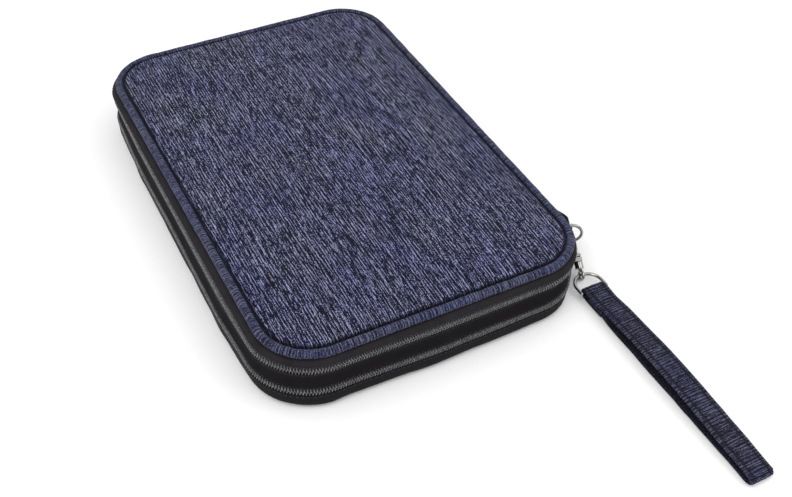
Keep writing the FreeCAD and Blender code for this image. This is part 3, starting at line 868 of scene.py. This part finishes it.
def spine_pad():
    """The stiff panel of the spine, cloth on both faces, its ends lapping over the bands."""
    half = SPINE_HIGH[1] + 1.8
    ys = np.linspace(-half, half, 120)
    middle_x = (SPINE_LOW[0] + SPINE_HIGH[0]) / 2
    middle_z = (SPINE_LOW[2] + SPINE_HIGH[2]) / 2
    tall = SPINE_HIGH[2] - SPINE_LOW[2]
    line = np.linspace(-0.5, 0.5, 22)
    thick = 0.8 * (1 - (np.abs(line) * 2) ** 6) ** 0.5
    section = np.concatenate((np.stack((thick, line), 1), np.stack((-thick, line), 1)[::-1][1:-1]))
    turn = girth(section * (1, tall))
    pull = np.sqrt(np.maximum(1 - (np.abs(ys) / (half + 0.01)) ** 40, 0.04))
    soft = lattice(ys[:, None] / 18, section[None, :, 1] * 3, 41) * 0.18
    outward = (section[None, :, 0] > 0) * (1 - (np.abs(section[None, :, 1]) * 2) ** 4)
    x = middle_x + section[None, :, 0] * pull[:, None] + (soft + 0.35) * outward
    rows = grid(x, ys[:, None], middle_z + section[None, :, 1] * tall)
    piece = skin("spine_cloth", rows, ys * MM, turn * MM, True, False, True)
    dress(piece, black_band, "tray", ("spine_panel",))
    for label, z in (("lower", SPINE_LOW[2] + 2.0), ("upper", SPINE_HIGH[2] - 2.0)):
        line = np.column_stack((np.full(120, SPINE_HIGH[0] + 0.2), ys, np.full(120, z)))
        made = thread("spine_%s_stitches" % label, line, (1.0, 0.0, 0.0))
        dress(made, black_thread, "tray")


def spine_fold(name, middle):
    """The cloth that joins the spine to a cover, in one fixed shape."""
    half = SPINE_HIGH[1] + 0.6
    ys = np.linspace(-half, half, 120)
    section = ribbon_section(middle, 0.8, 0.5)
    turn = girth(section)
    soft = lattice(ys[:, None] / 9, turn[None, :-1] / 5, 47) * 0.12
    rows = grid(section[None, :, 0] + soft, ys[:, None], section[None, :, 1] + soft * 0.5)
    piece = skin(name, rows, ys * MM, turn * MM, True, False, True)
    dress(piece, black_band, None)
    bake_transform(piece)


spine_pad()
spine_fold(
    "base_spine_fold",
    ((92.6, 0.9), (95.6, 0.75), (98.2, 1.2), (98.8, 2.8), (97.2, 4.2), (96.9, 6.0)),
)
spine_fold(
    "lid_spine_fold",
    ((96.7, 30.6), (96.7, 32.2), (96.3, 33.7), (95.0, 34.5), (93.2, 34.2)),
)


# ---- inside


def follow_slack(piece, z, reach=30.0):
    """Move a pad's edge in or out with the slack that the bands have at a height."""
    rim = Rim(2.2, closed=True)
    zeros = np.zeros((len(rim.run), 1))
    edge = rim.place(zeros, zeros)[:, 0, :2]
    sway = rim.slack(zeros + z)[:, 0]
    points = np.array([vertex.co for vertex in piece.data.vertices]) / MM
    nearest = ((points[:, None, :2] - edge[None]) ** 2).sum(axis=2).argmin(axis=1)
    move = sway[nearest] * smooth(1.0 - edge_distance(points[:, :2]) / reach)
    points[:, :2] += rim.out[nearest] * move[:, None]
    piece.data.vertices.foreach_set("co", (points * MM).ravel())


def flat_pad(name, body, offset, low, high, material, nodes, soft=False):
    piece = pad_shape(name, offset, low, high, 6.0, min(0.9, (high - low) / 2))[0]
    if soft:
        follow_slack(piece, (low + high) / 2)
    return dress(piece, material, body, nodes)


low, high = node_box("base_lining")
flat_pad(
    "base_inner_lining", "base", PANEL_OFFSET, low[2] - 0.4, high[2],
    lining_cloth, ("base_lining",),
)
low, high = node_box("lid_lining")
flat_pad(
    "lid_inner_lining", "lid", PANEL_OFFSET, low[2], high[2] + 0.4,
    lining_cloth, ("lid_lining",),
)
low, high = node_box("divider_lower_lining")[0], node_box("divider_upper_lining")[1]
flat_pad(
    "divider_pad", "tray", 0.1, low[2], high[2], lining_cloth,
    ("divider_lower_lining", "divider_board", "divider_upper_lining"), True,
)


def inner_binding(name, body, offset, z, radius):
    """The bias binding over the raw seam inside a compartment."""
    def swell(run, turn):
        return lattice(run / 3.0, turn / 3.0, 51) * 0.1
    piece = swept(name, Rim(1.8, closed=True), circle(offset, z, radius, 10), swell)
    dress(piece, tape_cloth, body)


inner_binding("base_inner_binding", "base", -4.6, 4.5, 1.2)
inner_binding("lid_inner_binding", "lid", -4.6, 34.5, 1.2)


def elastic_strip(node_name, label):
    """Ribbed elastic, sewn down between its loops."""
    low, high = node_box(node_name)
    middle_y = (low[1] + high[1]) / 2
    half = (high[1] - low[1]) / 2
    floor = low[2]
    rise = high[2] - low[2] - 0.45
    xs = np.arange(low[0], high[0] + 0.01, 0.8)
    phase = (xs - low[0]) / (high[0] - low[0]) * ELASTIC_LOOPS
    hump = np.abs(np.sin(phase * math.pi)) ** 0.7
    across = np.linspace(-half, half, 15)
    edge = 1 - (np.abs(across) / half) ** 8
    lift = floor + 0.45 + rise * hump[:, None] - 0.12 * (1 - edge[None, :])
    top = grid(xs[:, None], middle_y + across[None, :], lift)
    under = top[:, ::-1].copy()
    under[:, :, 2] -= 0.7
    rows = np.concatenate((top, under), axis=1)
    turn = np.concatenate((across - across[0], across - across[0] + 2 * half + 0.7, [4 * half + 1.4]))
    run = lengths(np.stack((xs, rise * hump), 1))
    piece = skin(label, rows, run * MM, turn * MM, True, False, True)
    dress(piece, elastic_cloth, "tray", (node_name,))
    for k in range(ELASTIC_LOOPS + 1):
        x = low[0] + (high[0] - low[0]) * k / ELASTIC_LOOPS
        x = min(max(x, low[0] + 0.9), high[0] - 0.9)
        line = np.array([(x, middle_y + t, floor + 0.75) for t in np.linspace(-half + 1, half - 1, 10)])
        row = thread("%s_tack_%d" % (label, k), line, (0.0, 0.0, 1.0), 1.6, 0.5, 0.2)
        dress(row, black_thread, "tray")


for place in ("front", "middle", "back"):
    elastic_strip(place + "_elastic_loops", place + "_elastic_strip")


def mesh_net(node_name, label, body, facing):
    """Knitted net: a sheet of yarn with rows of six-sided holes."""
    low, high = node_box(node_name)
    cell = NET_CELL
    wide = cell * math.sqrt(3)
    middle_z = (low[2] + high[2]) / 2
    verts, faces, index = [], [], {}

    def vert(x, y):
        key = (round(x, 3), round(y, 3))
        if key not in index:
            index[key] = len(verts)
            sag = 0.25 * math.sin((x - low[0]) / (high[0] - low[0]) * math.pi * 3)
            verts.append((x, y, middle_z + facing * (0.1 + sag * 0.4)))
        return index[key]

    row = 0
    y = low[1] + cell
    while y < high[1] - cell * 0.4:
        x = low[0] + wide / 2 + (wide / 2 if row % 2 else 0)
        while x < high[0] - wide / 2 + 0.01:
            outer, inner = [], []
            for k in range(6):
                angle = math.pi / 6 + k * math.pi / 3
                outer.append(vert(x + cell * math.cos(angle), y + cell * math.sin(angle)))
                hole = cell * NET_HOLE_SHARE
                inner.append(vert(x + hole * math.cos(angle), y + hole * math.sin(angle)))
            for k in range(6):
                m = (k + 1) % 6
                faces.append((outer[k], outer[m], inner[m], inner[k]))
            x += wide
        y += cell * 1.5
        row += 1
    piece = mesh_piece(label, verts, faces)
    solid = piece.modifiers.new("yarn", "SOLIDIFY")
    solid.thickness = 0.45 * MM
    solid.offset = 0.0
    view = bpy.context.evaluated_depsgraph_get()
    mesh = bpy.data.meshes.new_from_object(piece.evaluated_get(view))
    piece.modifiers.clear()
    piece.data = mesh
    dress(piece, mesh_yarn, body, (node_name,))


def binding_strip(node_name, label, body, facing):
    """The folded tape along the pocket's mouth, with its row of stitches."""
    low, high = node_box(node_name)
    middle = (low + high) / 2
    half = (high - low) / 2
    xs = np.linspace(low[0], high[0], 90)
    section = rounded_box(16, half[1], half[2], 0.6, 0.7)
    wave = lattice(xs / 11, np.zeros(len(xs)), 61)[:, None] * 0.25
    rows = grid(xs[:, None], middle[1] + section[None, :, 0] + wave, middle[2] + section[None, :, 1])
    piece = skin(label, rows, xs * MM, girth(section) * MM, True, False, True)
    dress(piece, tape_cloth, body, (node_name,))
    z = middle[2] + facing * half[2]
    line = np.column_stack((xs, np.full(90, low[1] + 1.4) + wave[:, 0], np.full(90, z)))
    row = thread(label + "_stitches", line, (0.0, 0.0, float(facing)))
    dress(row, navy_thread, body)


mesh_net("base_mesh_pocket", "base_pocket_net", "base", 1)
mesh_net("lid_mesh_pocket", "lid_pocket_net", "lid", -1)
binding_strip("base_pocket_binding", "base_pocket_edge", "base", 1)
binding_strip("lid_pocket_binding", "lid_pocket_edge", "lid", -1)

# ---- ring tab and wrist strap


def webbing_tab():
    """Doubled webbing that runs from the spine round the pouch ring's bar and back."""
    low, high = node_box("ring_tab")
    middle = ((97.3, -80.6), (97.3, -86.0), (97.8, -90.6), (99.8, -95.8), (102.0, -102.0), (101.4, -107.2),
              (100.9, -110.0), (102.2, -111.0), (103.6, -110.0), (103.9, -107.0), (103.6, -101.8),
              (101.2, -95.0), (99.0, -89.6), (98.4, -86.0), (98.4, -80.6))
    line = curve_through(middle, 0.6)
    side = directions(line)[1]
    half = TAB_EYE_HALF
    extra = smooth((line[:, 1] + 107.4) / 3.4) * (high[2] - low[2] - 2 * half)
    section = rounded_box(20, half, 0.45, 0.35, 0.6)
    wide, thick = section.T
    rows = np.zeros((len(line), len(section), 3))
    rows[:, :, :2] = line[:, None, :] + side[:, None, :] * thick[None, :, None]
    rows[:, :, 2] = low[2] + (wide[None, :] + half) / (2 * half) * (2 * half + extra[:, None])
    run = lengths(line)
    piece = skin("ring_webbing", rows, run * MM, girth(section) * MM, True, False, True)
    dress(piece, webbing_cloth, "tray", ("ring_tab",))
    for y in (-82.0, -88.0):
        row = np.array([(98.9, y, low[2] + t) for t in np.linspace(0.8, high[2] - low[2] - 0.8, 10)])
        made = thread("ring_webbing_tack_%d" % int(-y), row, (1.0, 0.0, 0.0), 1.5, 0.5, 0.2)
        dress(made, black_thread, "tray")


def strap():
    """The wrist strap: a folded strip of cover cloth with a row of stitches near each edge."""
    low, high = node_box("wrist_strap")
    ring_low, ring_high = node_box("strap_ring")
    bar = np.array((ring_low[1] + 1.0, (ring_low[2] + ring_high[2]) / 2))
    far = low[1]
    middle_x = (low[0] + high[0]) / 2
    crest = (bar[0] + far) / 2
    middle = (
        (bar[0] - 5.5, 2.75), (bar[0] - 13, 2.65), (bar[0] - 20, 1.9), (bar[0] - 30, 1.05), (crest, 0.98),
        (far + 14, 0.98), (far + 4.0, 1.05), (far + 1.2, 2.0), (far + 1.0, 3.3), (far + 3.0, 4.4),
        (far + 8, 4.9), (crest, 8.1), (bar[0] - 24, 6.3), (bar[0] - 11, 4.9), (bar[0] - 4, 5.2),
        bar + (0.0, 1.95), bar + (1.45, 1.3), bar + (1.95, 0.0), bar + (1.3, -1.5), bar + (-0.8, -2.35),
        (bar[0] - 5, 0.98), (bar[0] - 17, 0.98),
    )
    line = curve_through([tuple(p) for p in middle], 0.9)
    run = lengths(line)
    side = directions(line)[1]
    half = (high[0] - low[0]) / 2
    seam = half - STRAP_SEAM_INSET
    thick = 0.85
    shares = np.array((0.0, 0.35, 0.7, 0.9, 1.0))
    across = np.linspace(-half + thick, half - thick, 25)
    groove = np.exp(-((np.abs(across) - seam) / 0.45) ** 2)
    pillow = 0.12 * np.cos(across / seam * math.pi / 2) * (np.abs(across) < seam)
    surface = thick + pillow - 0.3 * groove
    ends = shares[:-1] * math.pi / 2
    right = np.stack((half - thick + thick * np.sin(ends + 0.2), thick * np.cos(ends + 0.2)), 1)
    top = np.stack((across, surface), 1)
    upper = np.concatenate((top, right))
    lower = np.stack((-upper[:, 0], -upper[:, 1]), 1)
    section = np.concatenate((upper, lower))
    turn = girth(section)
    pull = lattice(run[:, None] / 1.6, section[None, :, 0] / 2.4, 71) * 0.07
    pull += lattice(run[:, None] / 5.0, section[None, :, 0] / 5.0, 72) * 0.10
    fray = lattice(run / 7.0, run * 0, 73) * 0.15
    height = section[None, :, 1] + np.sign(section[None, :, 1]) * pull * (np.abs(section[None, :, 1]) > 0.3)
    rows = grid(
        middle_x + section[None, :, 0] + fray[:, None] * (section[None, :, 0] / half),
        line[:, None, 0] + side[:, None, 0] * height,
        np.maximum(line[:, None, 1] + side[:, None, 1] * height, 0.05),
    )
    piece = skin("strap_cloth", rows, run * MM, turn * MM, True, False, True)
    # Painted shade: dark lines in the stitch grooves, and the strap's lower layer darkened where it lies in
    # shadow under the loop.
    sewn = np.exp(-((np.abs(section[:, 0]) - seam) / 0.75) ** 2)
    shaded = 0.85 * smooth((3.4 - rows[:, :, 2]) / 1.4)
    paint_seam_shade(piece, np.maximum(sewn[None, :], shaded).ravel())
    dress(piece, strap_cloth, "wrist_strap", ("wrist_strap",))
    for label, x in (("left", -seam), ("right", seam)):
        for face, way in (("outer", 1), ("inner", -1)):
            spots = np.column_stack((np.full(len(line), middle_x + x), line + side * way * (thick - 0.2)))
            outs = np.column_stack((np.zeros(len(line)), side * way))
            row = thread("strap_%s_%s_stitches" % (label, face), spots, outs, 2.6, 0.7, 0.3, 0.25)
            dress(row, navy_thread, "wrist_strap")


webbing_tab()
strap()

# ---- stage, light and camera


def floor():
    bpy.ops.mesh.primitive_plane_add(size=8.0, location=(0, 0, -0.0002))
    made = bpy.context.object
    made.name = "floor"
    paint, _, shader = new_material("floor_paint", 0.9)
    shader.inputs["Base Color"].default_value = (0.96, 0.96, 0.96, 1.0)
    shader.inputs["Specular IOR Level"].default_value = 0.1
    made.data.materials.append(paint)


def area_light(name, place, aim, size, power):
    data = bpy.data.lights.new(name, "AREA")
    data.shape = "RECTANGLE"
    data.size, data.size_y = size
    data.energy = power
    lamp = bpy.data.objects.new(name, data)
    bpy.context.scene.collection.objects.link(lamp)
    lamp.location = place
    lamp.rotation_euler = (Vector(aim) - Vector(place)).to_track_quat("-Z", "Y").to_euler()


def camera():
    """Looks down on the front short side from the left of the pouch."""
    turn, rise, roll = -0.5019, 0.7642, 0.0305
    back = Vector((math.sin(turn) * math.cos(rise), -math.cos(turn) * math.cos(rise), math.sin(rise)))
    right = Vector((math.cos(turn), math.sin(turn), 0.0))
    up = back.cross(right)
    rolled_right = right * math.cos(roll) + up * math.sin(roll)
    rolled_up = up * math.cos(roll) - right * math.sin(roll)
    place = Vector((-0.2072, -0.466, 0.4459))
    data = bpy.data.cameras.new("camera")
    data.sensor_width = 36.0
    data.lens = 49.15
    data.clip_start = 0.01
    made = bpy.data.objects.new("camera", data)
    bpy.context.scene.collection.objects.link(made)
    axes = Matrix((rolled_right, rolled_up, back)).transposed().to_4x4()
    made.matrix_world = Matrix.Translation(place) @ axes
    bpy.context.scene.camera = made


def sky():
    """A pale studio dome, brighter overhead than at the horizon."""
    world = bpy.data.worlds.new("sky")
    world.use_nodes = True
    tree = world.node_tree
    direction = node(tree, "TexCoord").outputs["Generated"]
    height = node(tree, "SeparateXYZ", {0: direction}).outputs["Z"]
    dome = ramp(tree, height, ((0.0, grey(0.5)), (0.25, grey(0.7)), (0.7, grey(1.0))))
    background = tree.nodes["Background"]
    tree.links.new(dome, background.inputs["Color"])
    background.inputs["Strength"].default_value = 1.0
    bpy.context.scene.world = world


floor()
sky()
area_light("key", (-0.9, -0.5, 1.5), (0, 0, 0), (1.2, 1.2), 11.0)
area_light("fill", (0.9, -0.9, 1.1), (0, 0, 0), (1.0, 1.0), 4.0)
camera()
bpy.context.scene.view_settings.view_transform = "Standard"
